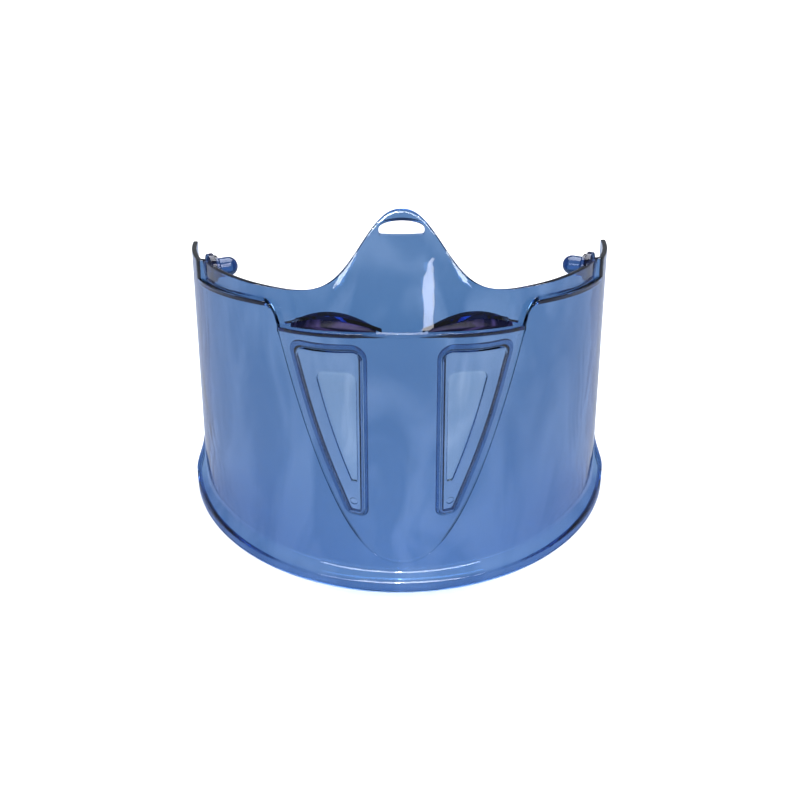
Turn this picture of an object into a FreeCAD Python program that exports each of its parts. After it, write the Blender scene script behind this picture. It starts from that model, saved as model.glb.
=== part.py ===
import FreeCAD, Part
import functools
import math
import os

V = FreeCAD.Vector

# Overall form, in millimetres. Front faces -Y, the rim stands on Z = 0.
wall_half_width = 82.0
wall_reach = 90.0
wall_thickness = 2.0
rear_top_height = 104.0
top_rise = 16.6
rear_corner_radius = 28.0

# Outward step along the bottom rim
rim_step = 4.0
rim_lip_height = 3.7
rim_step_top = 8.0

# Ledge round the side panels, which stand proud of the middle of the shield
ledge_step = 2.0
ledge_rear_height = 94.0
ledge_rise = 22.8
ledge_rear_stop = 77.0
opening_foot_height = 11.0
opening_half_width = 44.5
opening_shoulder_height = 104.0
opening_power = 0.46
corner_run = 5.0

# Muzzle: the bulge in front of the mouth
muzzle_foot_bulge = 2.6
muzzle_top_bulge = 8.0
muzzle_margin = 4.0
muzzle_top_height = 111.0
muzzle_top_drop = 6.3
muzzle_roundness = 3.0

# Nose and upper strip
nose_peak_height = 146.0
nose_flank_width = 19.0
nose_flank_power = 2.33
crown_half_width = 50.0
crown_sink = 1.0
nose_ridge_slope = 0.857
nose_setback = 1.0
nose_width = 27.0
nose_side_drop = 13.2
strip_lean = 0.55
strip_lean_width = 55.0
strip_lean_start = 108.0
strip_relief = 0.3
fold_radius = 4.0

# Slot at the tip of the nose and the two slots over the muzzle
nose_slot_width = 16.0
nose_slot_height = 4.6
nose_slot_bottom = 137.6
eye_slot_inner = 7.0
eye_slot_outer = 41.5
eye_slot_height = 2.0

# Dark seals that lie on the top of the muzzle and reach through the two slots
seal_gap = 0.25
seal_tip_gap = 2.0
seal_recess = 1.0
seal_lip = 0.6
seal_lip_thickness = 1.0

# Vent covers, seen from the front
cover_inner_x = 14.0
cover_outer_x = 38.3
cover_top_z = 103.6
cover_top_drop = 4.6
cover_foot_z = 33.0
cover_foot_width = 5.0
cover_side_bow = 2.4
cover_corner_radius = 3.5
cover_foot_radius = 1.8
cover_side_radius = 280.0
cover_gap = 0.3
cover_rise = 1.0
cover_skin = 1.8
cover_skirt = 1.2
cover_flange = 2.4
cover_flange_thickness = 1.4
seat_depth = 4.2
seat_width = 3.6
pocket_edge = 2.0
pocket_top = 8.0
pocket_side = 5.5
pocket_foot = 15.0
pocket_depth = 0.9
peg_mark_radius = 1.4
peg_mark_inset = 3.75
peg_mark_rise = 6.0
peg_mark_depth = 0.6

# Side studs
stud_radius = 3.7
stud_length = 4.0
stud_base_radius = 5.0
stud_base_thickness = 1.4
stud_shank_radius = 2.0
stud_boss_radius = 6.0
stud_boss_height = 1.0
stud_press = 0.02
stud_rear_distance = 34.0
stud_height = 107.5

# Derived places
rear_y = (wall_reach - ledge_step + muzzle_top_bulge) / 2
nose_foot_y = nose_setback - rear_y
over = 5.0
tall = 160.0


def half_chord(x, half_width):
    return math.sqrt(max(0.0, 1.0 - (x / half_width) ** 2))


def ellipse_y(x, inset):
    return rear_y - (wall_reach - inset) * half_chord(x, wall_half_width - inset)


def soft_front(first, second):
    near = max(fold_radius - abs(first - second), 0.0) / fold_radius
    return min(first, second) - near * near * fold_radius / 4


def opening_half(z):
    rise = max(z - opening_foot_height, 0.0) / (opening_shoulder_height - opening_foot_height)
    return opening_half_width * rise ** opening_power


def crown_edge(x):
    side = rear_top_height + top_rise * half_chord(x, wall_half_width) - crown_sink
    crown = nose_peak_height - rear_top_height - top_rise + crown_sink
    return side + crown * math.exp(-((abs(x) / nose_flank_width) ** nose_flank_power))


def ledge_edge(x):
    return ledge_rear_height + ledge_rise * half_chord(x, wall_half_width)


def muzzle_top(x):
    return muzzle_top_height - muzzle_top_drop * (x / eye_slot_outer) ** 2


def upper_curve(u, z):
    """Upper strip and nose at height z; u runs from -1 at one rear edge to 1 at the other."""
    inset = ledge_step + strip_relief
    x = (wall_half_width - inset) * math.sin(u * math.pi / 2)
    lean = strip_lean * max(0.0, 1.0 - (x / strip_lean_width) ** 2)
    strip = ellipse_y(x, inset) + lean * max(z - strip_lean_start, 0.0)
    ridge = nose_foot_y + nose_ridge_slope * abs(z - muzzle_top_height)
    nose = ridge + nose_side_drop * (x / nose_width) ** 2
    return x, soft_front(strip, nose)


def muzzle_curve(u, z):
    """Muzzle at height z; u runs across it from -1 to 1."""
    x = u * (opening_half(z) + muzzle_margin)
    slope = (muzzle_top_bulge - muzzle_foot_bulge) / muzzle_top_height
    bulge = muzzle_foot_bulge + slope * z
    return x, ellipse_y(x, ledge_step) - bulge * (1.0 - abs(u) ** muzzle_roundness)


def inward(curve, u, z, inset):
    """Point of a curve moved into the shield by a distance square to its surface."""
    step = 0.01
    before = curve(max(u - step, -1.0), z)
    after = curve(min(u + step, 1.0), z)
    run_x = after[0] - before[0]
    run_y = after[1] - before[1]
    length = math.hypot(run_x, run_y)
    side = V(-run_y / length, run_x / length, 0)
    x, y = curve(u, z)
    higher = curve(u, z + 1.0)
    drift = (higher[0] - x) * side.x + (higher[1] - y) * side.y
    move = inset * math.sqrt(1.0 + drift * drift)
    return V(x + side.x * move, y + side.y * move, z)


def skin_block(curve, count, levels, inset, back_y):
    """Solid lofted through level sections, filled from the curve to a flat back."""
    wires = []
    for z in levels:
        points = [inward(curve, 2.0 * i / count - 1.0, z, inset) for i in range(count + 1)]
        front = Part.BSplineCurve()
        front.interpolate(points)
        left = V(points[0].x, back_y, z)
        right = V(points[-1].x, back_y, z)
        corners = [points[-1], right, left, points[0]]
        pairs = [pair for pair in zip(corners, corners[1:]) if (pair[0] - pair[1]).Length > 0.01]
        lines = [Part.makeLine(*pair) for pair in pairs]
        wires.append(Part.Wire([front.toShape()] + lines))
    return Part.makeLoft(wires, True, False)


def ellipse_wire(inset, z, back):
    arc = Part.Arc(V(-1, 0, 0), V(0, -1, 0), V(1, 0, 0)).toShape()
    stretch = FreeCAD.Matrix()
    stretch.scale(wall_half_width - inset, wall_reach - inset, 1)
    arc = arc.transformGeometry(stretch)
    arc.translate(V(0, rear_y, z))
    left = V(-(wall_half_width - inset), rear_y, z)
    right = V(wall_half_width - inset, rear_y, z)
    edges = [arc]
    if back > 0:
        edges.append(Part.makeLine(right, right + V(0, back, 0)))
        edges.append(Part.makeLine(right + V(0, back, 0), left + V(0, back, 0)))
        edges.append(Part.makeLine(left + V(0, back, 0), left))
    else:
        edges.append(Part.makeLine(right, left))
    return Part.Wire(edges)


def ellipse_block(inset, bottom, top, back=0.0):
    return Part.Face(ellipse_wire(inset, bottom, back)).extrude(V(0, 0, top - bottom))


def rim_block(inset, bottom, back=0.0):
    lip = ellipse_block(inset - rim_step, bottom, rim_lip_height, back)
    low = ellipse_wire(inset - rim_step, rim_lip_height, back)
    high = ellipse_wire(inset, rim_step_top, back)
    return lip.fuse(Part.makeLoft([low, high], True, True))


def front_prism(wire):
    """Solid cut square to the front through a wire drawn in X and Z."""
    wire.translate(V(0, -2 * wall_reach, 0))
    return Part.Face(wire).extrude(V(0, 4 * wall_reach, 0))


def curve_through(points):
    curve = Part.BSplineCurve()
    curve.interpolate(points)
    return curve.toShape()


def opening_prism(grow):
    """Middle of the shield between the side panels, and all above their ledge."""
    shoulder = opening_shoulder_height - grow
    count = 10
    side = []
    for i in range(-count, count + 1):
        share = abs(i) / count
        z = opening_foot_height - grow + (shoulder - opening_foot_height + grow) * share ** 2
        x = math.copysign(opening_half(z + grow) + grow * min(1.0, 2.0 * share), i)
        side.append(V(x if i else 0.0, 0, z))
    end = side[-1]
    turn_x = end.x + corner_run
    turn = V(turn_x, 0, ledge_edge(turn_x - grow) - grow)
    bend = V(end.x + 0.2 * corner_run, 0, end.z + 0.7 * (turn.z - end.z))
    run = [turn]
    for i in range(1, 7):
        x = turn_x + (ledge_rear_stop - turn_x) * i / 6.0
        run.append(V(x, 0, ledge_edge(x) - grow))
    right = [Part.Arc(end, bend, turn).toShape(), curve_through(run),
             Part.makeLine(run[-1], V(ledge_rear_stop, 0, tall))]
    flip = FreeCAD.Matrix()
    flip.scale(-1, 1, 1)
    left = [edge.transformGeometry(flip) for edge in right]
    top = Part.makeLine(V(ledge_rear_stop, 0, tall), V(-ledge_rear_stop, 0, tall))
    edges = Part.sortEdges([curve_through(side), top] + right + left)[0]
    return front_prism(Part.Wire(edges))


def edge_prism(edge_height, half_width, count, far):
    """All between an edge given as a height over x and a level far above or below it."""
    points = []
    for i in range(count + 1):
        x = half_width * (2.0 * i / count - 1.0)
        points.append(V(x, 0, edge_height(x)))
    corners = [points[-1], V(half_width, 0, far), V(-half_width, 0, far), points[0]]
    lines = [Part.makeLine(a, b) for a, b in zip(corners, corners[1:])]
    return front_prism(Part.Wire([curve_through(points)] + lines))


@functools.lru_cache(None)
def top_trim():
    """All above the sloping top edge and outside the crown of the nose."""
    size = 4 * wall_half_width
    slope = math.degrees(math.atan2(top_rise, wall_reach))
    block = Part.makeBox(size, size, size, V(-size / 2, -size / 2, 0))
    block.rotate(V(0, 0, 0), V(1, 0, 0), -slope)
    block.translate(V(0, rear_y, rear_top_height))
    return block.cut(edge_prism(crown_edge, crown_half_width, 36, 0.0))


@functools.lru_cache(None)
def muzzle_block(inset, back_y):
    low = rim_step_top - 2.0
    high = muzzle_top_height + over
    levels = [low + (high - low) * (i / 7.0) ** 1.3 for i in range(8)]
    return skin_block(muzzle_curve, 16, levels, inset, back_y)


@functools.lru_cache(None)
def upper_block(inset, back_y):
    foot = muzzle_top_height
    high = nose_peak_height + over
    levels = [foot - 12.0, foot - 6.0] + [foot + (high - foot) * i / 6.0 for i in range(7)]
    return skin_block(upper_curve, 32, levels, inset, back_y)


def muzzle_cut(inset, back_y, drop):
    limit = edge_prism(muzzle_top, wall_half_width, 12, 2 * tall)
    limit.translate(V(0, 0, -drop))
    return muzzle_block(inset, back_y).cut(limit)


def solid_form(inset, back, bottom, grow):
    """The shield as a filled solid, or its hollow when inset by the wall."""
    base = inset + ledge_step
    back_y = rear_y + back
    split = opening_shoulder_height - 0.5 * over
    core = ellipse_block(base, bottom, split, back)
    panel = ellipse_block(inset, rim_step_top, rear_top_height + top_rise, back)
    panel = panel.cut(opening_prism(grow))
    form = core.fuse(rim_block(inset, bottom, back)).fuse(panel)
    return form.fuse(muzzle_cut(inset, back_y, inset)).fuse(upper_block(inset, back_y))


def rear_corner_cut():
    size = rear_corner_radius
    block = Part.makeBox(4 * wall_half_width, size + over, size + over)
    block.translate(V(-2 * wall_half_width, rear_y - size, -over))
    round_off = Part.makeCylinder(size, 4 * wall_half_width, V(-2 * wall_half_width, 0, 0), V(1, 0, 0))
    round_off.translate(V(0, rear_y - size, size))
    return block.cut(round_off)


def eye_slot(tip_gap, gap):
    """Right one of the two long slots between the muzzle and the nose, drawn in by gaps."""
    middle = (eye_slot_inner + eye_slot_outer) / 2
    inner = eye_slot_inner + tip_gap
    outer = eye_slot_outer - tip_gap
    start = V(inner, 0, muzzle_top(inner) + gap)
    end = V(outer, 0, muzzle_top(outer) + gap)
    low = V(middle, 0, muzzle_top(middle) + gap)
    high = low + V(0, 0, eye_slot_height - 2 * gap)
    edges = [Part.Arc(start, low, end).toShape(), Part.Arc(end, high, start).toShape()]
    return front_prism(Part.Wire(edges))


def nose_slot():
    half = nose_slot_width / 2
    foot = nose_slot_bottom
    shoulder = foot + 0.45 * nose_slot_height
    left = V(-half, 0, foot)
    right = V(half, 0, foot)
    crown = V(0, 0, foot + nose_slot_height)
    edges = [Part.makeLine(left, right), Part.makeLine(right, V(half, 0, shoulder)),
             Part.Arc(V(half, 0, shoulder), crown, V(-half, 0, shoulder)).toShape(),
             Part.makeLine(V(-half, 0, shoulder), left)]
    return front_prism(Part.Wire(edges))


def rounded_prism(corners, radii):
    """Prism over a closed outline of straight edges with an arc at each corner."""
    ends = []
    edges = []
    count = len(corners)
    for i in range(count):
        corner = corners[i]
        back = (corners[i - 1] - corner).normalize()
        ahead = (corners[(i + 1) % count] - corner).normalize()
        half = back.getAngle(ahead) / 2
        reach = radii[i] / math.tan(half)
        middle = (back + ahead).normalize() * (radii[i] / math.sin(half) - radii[i])
        start = corner + back * reach
        end = corner + ahead * reach
        edges.append(Part.Arc(start, corner + middle, end).toShape())
        ends.append((start, end))
    for i in range(count):
        edges.append(Part.makeLine(ends[i - 1][1], ends[i][0]))
    return front_prism(Part.Wire(Part.sortEdges(edges)[0]))


def moved_corners(corners, moves):
    """Corners of an outline after each of its edges moves outward by its own amount."""
    lines = []
    count = len(corners)
    for i in range(count):
        run = (corners[(i + 1) % count] - corners[i]).normalize()
        lines.append((corners[i] + V(-run.z, 0, run.x) * moves[i], run))
    moved = []
    for i in range(count):
        p, d = lines[i - 1]
        q, e = lines[i]
        share = ((q.x - p.x) * e.z - (q.z - p.z) * e.x) / (d.x * e.z - d.z * e.x)
        moved.append(p + d * share)
    return moved


def cover_corners():
    foot_out = cover_inner_x + cover_foot_width
    top_out = cover_top_z - cover_top_drop
    bow_x = (cover_outer_x + foot_out) / 2 + cover_side_bow
    return [V(cover_inner_x, 0, cover_foot_z), V(cover_inner_x, 0, cover_top_z),
            V(cover_outer_x, 0, top_out), V(bow_x, 0, (top_out + cover_foot_z) / 2),
            V(foot_out, 0, cover_foot_z)]


def cover_prism(moves):
    """Outline of the right vent cover, edges moved outward: inner, top, outer high, outer low, foot."""
    corners = moved_corners(cover_corners(), moves)
    foot = max(cover_foot_radius + moves[0], 0.5)
    corner = max(cover_corner_radius + moves[0], 1.5)
    return rounded_prism(corners, [foot, corner, corner, cover_side_radius, foot])


def even(move):
    return (move,) * 5


def surface_y(x, z):
    u = x / (opening_half(z) + muzzle_margin)
    return muzzle_curve(u, z)[1]


def seat_slab(front, thickness):
    """Flat slab behind the right cover, square to the mean slope of the muzzle there."""
    top_out = cover_top_z - cover_top_drop
    foot_x = cover_inner_x + cover_foot_width / 2
    a = V(cover_inner_x, surface_y(cover_inner_x, cover_top_z), cover_top_z)
    b = V(cover_outer_x, surface_y(cover_outer_x, top_out), top_out)
    c = V(foot_x, surface_y(foot_x, cover_foot_z), cover_foot_z)
    normal = (b - a).cross(c - a)
    normal.normalize()
    if normal.y < 0:
        normal = normal * -1
    size = 3 * cover_outer_x
    slab = Part.makeBox(2 * size, 2 * size, thickness, V(-size, -size, 0))
    turn = FreeCAD.Rotation(V(0, 0, 1), normal)
    slab.Placement = FreeCAD.Placement(a + normal * front, turn)
    return slab


def vent_seat():
    """Thickened land inside the muzzle with a flat back for the cover's flange."""
    sunk = wall_thickness / 2
    land = cover_prism(even(seat_width)).common(muzzle_cut(sunk, rear_y, sunk))
    return land.common(seat_slab(-3 * seat_depth, 4 * seat_depth))


def stud_frame():
    """Foot of the right stud on the inside of the upper strip, and the way it points."""
    inner = ledge_step + strip_relief + wall_thickness
    reach = wall_reach - inner
    half = wall_half_width - inner
    share = stud_rear_distance / reach
    x = half * math.sqrt(1.0 - share * share)
    normal = V(x / half ** 2, -stud_rear_distance / reach ** 2, 0)
    normal.normalize()
    return V(x, rear_y - stud_rear_distance, stud_height), normal * -1


def mirrored(shape):
    return shape.mirror(V(0, 0, 0), V(1, 0, 0))


def make_shell():
    shell = solid_form(0.0, 0.0, 0.0, 0.0)
    shell = shell.cut(solid_form(wall_thickness, over, -over, muzzle_margin))
    foot, axis = stud_frame()
    sunk = wall_thickness / 2
    boss = Part.makeCylinder(stud_boss_radius, stud_boss_height + sunk, foot - axis * sunk, axis)
    hole = Part.makeCylinder(stud_shank_radius, 2 * over, foot - axis * over, axis)
    lands = [boss, vent_seat()]
    cuts = [hole, cover_prism(even(cover_gap)), eye_slot(0.0, 0.0)]
    lands += [mirrored(shape) for shape in lands]
    cuts += [mirrored(shape) for shape in cuts]
    return shell.fuse(lands).cut(cuts + [top_trim(), nose_slot(), rear_corner_cut()])


def sunk_lid(depth):
    """Layer cut away to sink a field by a depth into the front of the covers."""
    return muzzle_block(-2 * cover_rise, rear_y).cut(muzzle_block(depth - cover_rise, rear_y))


def make_cover():
    inside = cover_prism(even(-cover_skirt))
    ahead = seat_slab(-7 * seat_depth, 8 * seat_depth + cover_flange_thickness)
    body = muzzle_block(-cover_rise, rear_y).common(cover_prism(even(0.0))).common(ahead)
    body = body.cut(muzzle_block(cover_skin - cover_rise, rear_y).common(inside))
    flange = cover_prism(even(cover_flange)).cut(inside)
    body = body.fuse(flange.common(seat_slab(seat_depth, cover_flange_thickness)))
    field = cover_prism((-pocket_edge, -pocket_top, -pocket_side, -pocket_side, -pocket_foot))
    body = body.cut(field.common(sunk_lid(pocket_depth)))
    mark_foot = V(cover_inner_x + peg_mark_inset, -tall, cover_foot_z + peg_mark_rise)
    mark = Part.makeCylinder(peg_mark_radius, tall, mark_foot, V(0, 1, 0))
    return body.cut(mark.common(sunk_lid(peg_mark_depth)))


def make_seal():
    """Soft strip on top of the muzzle that fills the right long slot, with a lip behind the wall."""
    lip_front = wall_thickness + seal_gap
    behind = upper_block(lip_front + seal_lip_thickness, rear_y + over)
    plug = eye_slot(seal_tip_gap, seal_gap).common(muzzle_block(seal_recess, rear_y))
    lip = eye_slot(seal_tip_gap - seal_lip, -seal_lip).common(upper_block(lip_front, rear_y + over))
    return plug.fuse(lip).cut(behind)


def make_stud():
    foot, axis = stud_frame()
    seat = foot + axis * stud_boss_height
    base = Part.makeCylinder(stud_base_radius, stud_base_thickness, seat, axis)
    pin = Part.makeCylinder(stud_radius, stud_base_thickness + stud_length, seat, axis)
    tip = seat + axis * (stud_base_thickness + stud_length)
    dome = Part.makeSphere(stud_radius, tip).common(Part.makeCylinder(stud_radius, stud_radius, tip, axis))
    shank_length = stud_boss_height + wall_thickness / 2
    shank = Part.makeCylinder(stud_shank_radius - stud_press, shank_length, seat - axis * shank_length, axis)
    return base.fuse(pin).fuse(dome).fuse(shank)


def one_solid(shape):
    shape = shape.removeSplitter()
    return max(shape.Solids, key=lambda solid: solid.Volume)


os.makedirs("parts", exist_ok=True)
one_solid(make_shell()).exportStep("parts/shield_shell.step")
cover = one_solid(make_cover())
cover.exportStep("parts/right_vent_cover.step")
mirrored(cover).exportStep("parts/left_vent_cover.step")
seal = one_solid(make_seal())
seal.exportStep("parts/right_brow_seal.step")
mirrored(seal).exportStep("parts/left_brow_seal.step")
stud = one_solid(make_stud())
stud.exportStep("parts/right_side_stud.step")
mirrored(stud).exportStep("parts/left_side_stud.step")
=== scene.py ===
import math

import bmesh
import bpy
import numpy as np
from bpy.props import FloatProperty, FloatVectorProperty, PointerProperty
from mathutils import Matrix, Vector


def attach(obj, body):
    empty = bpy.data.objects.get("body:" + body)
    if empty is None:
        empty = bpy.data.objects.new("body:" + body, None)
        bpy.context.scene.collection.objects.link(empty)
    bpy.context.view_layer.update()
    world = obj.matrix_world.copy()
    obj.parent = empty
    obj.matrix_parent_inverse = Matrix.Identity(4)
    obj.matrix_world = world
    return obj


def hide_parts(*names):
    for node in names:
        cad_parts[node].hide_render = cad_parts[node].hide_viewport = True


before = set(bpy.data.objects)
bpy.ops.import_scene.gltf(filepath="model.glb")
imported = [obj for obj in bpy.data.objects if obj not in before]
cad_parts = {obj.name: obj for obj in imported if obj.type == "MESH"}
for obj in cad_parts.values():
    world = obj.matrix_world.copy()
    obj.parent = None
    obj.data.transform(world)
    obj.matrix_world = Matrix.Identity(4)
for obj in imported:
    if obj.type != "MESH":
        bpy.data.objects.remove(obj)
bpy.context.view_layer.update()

bl_info = {
    "name": "Lower face shield",
    "version": (1, 0, 0),
    "blender": (4, 5, 0),
    "location": "View3D > Sidebar > Face shield",
    # The brow seals named here are near-black inserts that paint shade into the long slots.
    "description": "Builds a translucent lower face shield with vent covers, brow seals and side studs",
    "category": "Add Mesh",
}

MM = 0.001


def length(name, description, millimetres):
    return FloatProperty(name=name, description=description, default=millimetres * MM, unit="LENGTH",
                         precision=5)


def factor(name, description, default):
    return FloatProperty(name=name, description=description, default=default)


def colour(name, description, default):
    return FloatVectorProperty(name=name, description=description, default=default, size=4, subtype="COLOR",
                               min=0.0, max=1.0)


class ShieldSizes(bpy.types.PropertyGroup):
    """Sizes of the shell, its muzzle, nose and rim."""

    half_width: length("Half width", "Half of the shell's width above the rim", 82.0)
    reach: length("Reach", "Depth of the shell from its rear edges to the front of the side panels", 90.0)
    wall: length("Wall", "Thickness of the moulded wall", 2.0)
    rear: length("Rear plane", "Place of the rear edges behind the origin", 48.0)
    rear_corner: length("Rear corner", "Radius of the lower rear corners", 28.0)
    rear_top: length("Rear top height", "Height of the top edge at the rear", 104.0)
    top_rise: length("Top rise", "Rise of the top edge from the rear to the front", 16.6)
    rim_step: length("Rim step", "How far the bottom rim stands out", 4.0)
    ledge_rear: length("Ledge rear height", "Height of the ledge at the rear", 94.0)
    ledge_rise: length("Ledge rise", "Rise of the ledge from the rear to the front", 22.8)
    ledge_stop: length("Ledge stop", "Half width at which the ledge ends", 77.0)
    ledge_depth: length("Ledge depth", "Depth of the ledge round the side panels", 2.3)
    crease_foot: length("Crease foot", "Height of the foot of the V-shaped crease", 11.0)
    crease_half: length("Crease half width", "Half width of the crease at its shoulder", 44.5)
    crease_shoulder: length("Crease shoulder", "Height of the shoulder of the crease", 104.0)
    crease_power: factor("Crease power", "How round the V-shaped crease is", 0.46)
    crease_step: length("Crease step", "Depth of the step along the crease", 0.5)
    corner_run: length("Corner run", "Width of the bend from the crease to the ledge", 5.0)
    muzzle_top: length("Muzzle top", "Height of the muzzle in the middle", 111.0)
    muzzle_drop: length("Muzzle drop", "Fall of the muzzle's top edge to the ends of the slots", 6.3)
    muzzle_bulge: length("Muzzle bulge", "How far the muzzle stands out at its foot", 0.6)
    muzzle_slope: factor("Muzzle slope", "How fast the muzzle comes forward with height", 0.0486)
    nose_peak: length("Nose peak", "Height of the tip of the nose", 146.0)
    nose_flank: length("Nose flank", "Half width of the crown of the nose", 19.0)
    nose_power: factor("Nose power", "How steep the flanks of the crown are", 2.33)
    nose_slope: factor("Nose slope", "Backward lean of the ridge of the nose", 0.857)
    nose_width: length("Nose width", "Half width over which the nose falls back", 27.0)
    nose_fall: length("Nose fall", "How far the nose falls back over that width", 13.2)
    strip_lean: factor("Strip lean", "Backward lean of the upper strip", 0.55)
    strip_width: length("Strip lean width", "Half width over which the strip leans", 55.0)
    strip_start: length("Strip lean start", "Height at which the lean starts", 108.0)
    fold: length("Fold radius", "Softness of the fold between the nose and the strip", 4.0)
    slot_inner: length("Long slot inner end", "Inner end of the long slots", 7.0)
    slot_outer: length("Long slot outer end", "Outer end of the long slots", 41.5)
    slot_height: length("Long slot height", "Height of the long slots in the middle", 2.0)
    nose_slot_width: length("Nose slot width", "Width of the slot at the tip of the nose", 16.0)
    nose_slot_height: length("Nose slot height", "Height of the slot at the tip of the nose", 4.6)
    nose_slot_foot: length("Nose slot foot", "Height of the foot of the slot", 137.6)


class CoverSizes(bpy.types.PropertyGroup):
    """Sizes of the two vent covers and of their seats."""

    inner: length("Inner edge", "Distance of the straight inner edge from the middle", 14.0)
    outer: length("Outer corner", "Distance of the upper outer corner from the middle", 38.3)
    top: length("Top", "Height of the upper inner corner", 103.6)
    top_drop: length("Top drop", "Fall of the top edge towards the outside", 4.6)
    foot: length("Foot", "Height of the foot", 33.0)
    foot_width: length("Foot width", "Width of the foot", 5.0)
    bow: length("Side bow", "How far the outer edge bows out", 2.4)
    corner: length("Corner radius", "Radius of the upper corners", 3.5)
    foot_corner: length("Foot radius", "Radius of the corners at the foot", 1.8)
    side_radius: length("Side radius", "Radius of the bend in the outer edge", 280.0)
    gap: length("Gap", "Gap between a cover and the edge of its opening", 0.3)
    rise: length("Rise", "How far a cover stands proud of the muzzle", 0.6)
    skin: length("Skin", "Thickness of the front of a cover", 1.8)
    skirt: length("Skirt", "Thickness of the skirt round a cover", 0.7)
    flange: length("Flange", "Width of the flange behind the opening", 1.8)
    flange_thickness: length("Flange thickness", "Thickness of the flange", 1.0)
    seat_gap: length("Seat gap", "Gap between the wall and the flange behind it", 0.15)
    pocket_depth: length("Pocket depth", "Depth of the sunk field", 0.9)
    pocket_edge: length("Pocket edge", "Margin of the sunk field at the inner edge", 2.0)
    pocket_top: length("Pocket top", "Margin of the sunk field at the top", 8.0)
    pocket_side: length("Pocket side", "Margin of the sunk field at the outer edge", 5.5)
    pocket_foot: length("Pocket foot", "Margin of the sunk field at the foot", 15.0)
    pocket_corner: length("Pocket corner", "Radius of the corners of the sunk field", 3.2)
    mark_radius: length("Mark radius", "Radius of the round mark at the foot", 1.4)
    mark_inset: length("Mark inset", "Distance of the mark from the inner edge", 3.75)
    mark_rise: length("Mark rise", "Height of the mark above the foot", 6.0)
    mark_depth: length("Mark depth", "Depth of the mark", 0.6)


class ShadeInsertSizes(bpy.types.PropertyGroup):
    """Sizes of the near-black inserts on top of the muzzle, which reach through the two long slots as
    painted shade.
    """

    gap: length("Gap", "Gap between a seal and the long edges of its slot", 0.25)
    tip_gap: length("Tip gap", "Gap between a seal and the tips of its slot", 2.0)
    recess: length("Recess", "Depth of the front of a seal behind the muzzle's front", 1.0)
    lip: length("Lip", "How far the lip of a seal reaches behind the wall", 0.6)
    lip_thickness: length("Lip thickness", "Thickness of the lip", 1.0)


class StudSizes(bpy.types.PropertyGroup):
    """Sizes of the two side studs."""

    radius: length("Radius", "Radius of the round end", 3.7)
    pin: length("Pin", "Length of the straight part", 4.0)
    base_radius: length("Base radius", "Radius of the base", 5.0)
    base: length("Base", "Thickness of the base", 1.4)
    shank: length("Shank", "Radius of the pressed shank", 1.98)
    boss: length("Boss", "Height of the boss on the wall", 1.0)
    boss_radius: length("Boss radius", "Radius of the boss on the wall", 6.0)
    from_rear: length("From rear", "Distance from the rear edge", 34.0)
    height: length("Height", "Height of the stud's axis", 107.5)


class ShieldLooks(bpy.types.PropertyGroup):
    """Colours of the plastic and of the stage."""

    tint: colour("Tint", "Colour of light that has passed the wall's two faces", (0.29, 0.50, 0.68, 1.0))
    # Lighter tint, mixed in by the flow marks and by height, towards the bottom and the top.
    tint_pale: colour("Pale tint", "Lighter colour where the moulding flowed thin", (0.57, 0.75, 0.88, 1.0))
    depth_tint: colour("Depth tint", "Colour that the depth of the plastic lets through",
                       (0.10, 0.36, 0.67, 1.0))
    shade: colour("Shade", "Colour of light that a face lets through to the floor", (0.88, 0.92, 0.97, 1.0))
    # Near-black colour of the slot inserts: painted shade where the long slots look dark.
    seal: colour("Seal", "Colour of the dark seals", (0.003, 0.003, 0.013, 1.0))
    # Painted sheen: lavender streaks of reflection painted into the colour of the slot inserts.
    painted_sheen: colour("Seal sheen", "Colour of the streaks on the seals", (0.035, 0.026, 0.09, 1.0))
    floor: colour("Floor", "Colour of the floor", (0.92, 0.92, 0.92, 1.0))
    reflected: colour("Reflected floor", "Colour of the floor in reflections", (0.30, 0.33, 0.40, 1.0))


# Where the muzzle starts below the foot of the crease and is full above it
MUZZLE_START, MUZZLE_FULL = 2 * MM, 16 * MM
# Shares of the half width between which the columns turn from straight in to square
COLUMN_TURN = (0.62, 0.8)
LEDGE_FADE = 0.6 * MM
RIDGE_BACK = 1.0 * MM
CROWN_SINK = 1.0 * MM
CROWN_HALF = 50 * MM
EDGE_PASSES = 12


def smoothstep(low, high, value):
    t = np.clip((value - low) / (high - low), 0.0, 1.0)
    return t * t * (3.0 - 2.0 * t)


def half_chord(x, half):
    return np.sqrt(np.clip(1.0 - (x / half) ** 2, 0.0, 1.0))


def ellipse_y(s, x, inset):
    return s.rear - (s.reach - inset) * half_chord(x, s.half_width - inset)


def soft_front(s, first, second):
    near = np.clip(s.fold - np.abs(first - second), 0.0, None) / s.fold
    return np.minimum(first, second) - near * near * s.fold / 4


def crease_half(s, z):
    rise = np.clip(z - s.crease_foot, 1e-9, None) / (s.crease_shoulder - s.crease_foot)
    return s.crease_half * rise ** s.crease_power


def crease_height(s, x):
    share = np.clip(np.abs(x) / s.crease_half, 0.0, 1.0)
    return s.crease_foot + (s.crease_shoulder - s.crease_foot) * share ** (1.0 / s.crease_power)


def front_edge(s, x):
    """Top edge of the muzzle in the middle, the bend beside it and the ledge of the side panels."""
    x = np.abs(x)
    muzzle = s.muzzle_top - s.muzzle_drop * (x / s.slot_outer) ** 2
    ledge = s.ledge_rear + s.ledge_rise * half_chord(x, s.half_width)
    start = s.muzzle_top - s.muzzle_drop * (s.crease_half / s.slot_outer) ** 2
    end_x = s.crease_half + s.corner_run
    end = s.ledge_rear + s.ledge_rise * half_chord(end_x, s.half_width)
    turn = np.clip((x - s.crease_half) / s.corner_run, 0.0, 1.0)
    bend = start + (end - start) * np.sqrt(1.0 - (1.0 - turn) ** 2)
    return np.where(x < s.crease_half, muzzle, np.where(x < end_x, bend, ledge))


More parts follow.
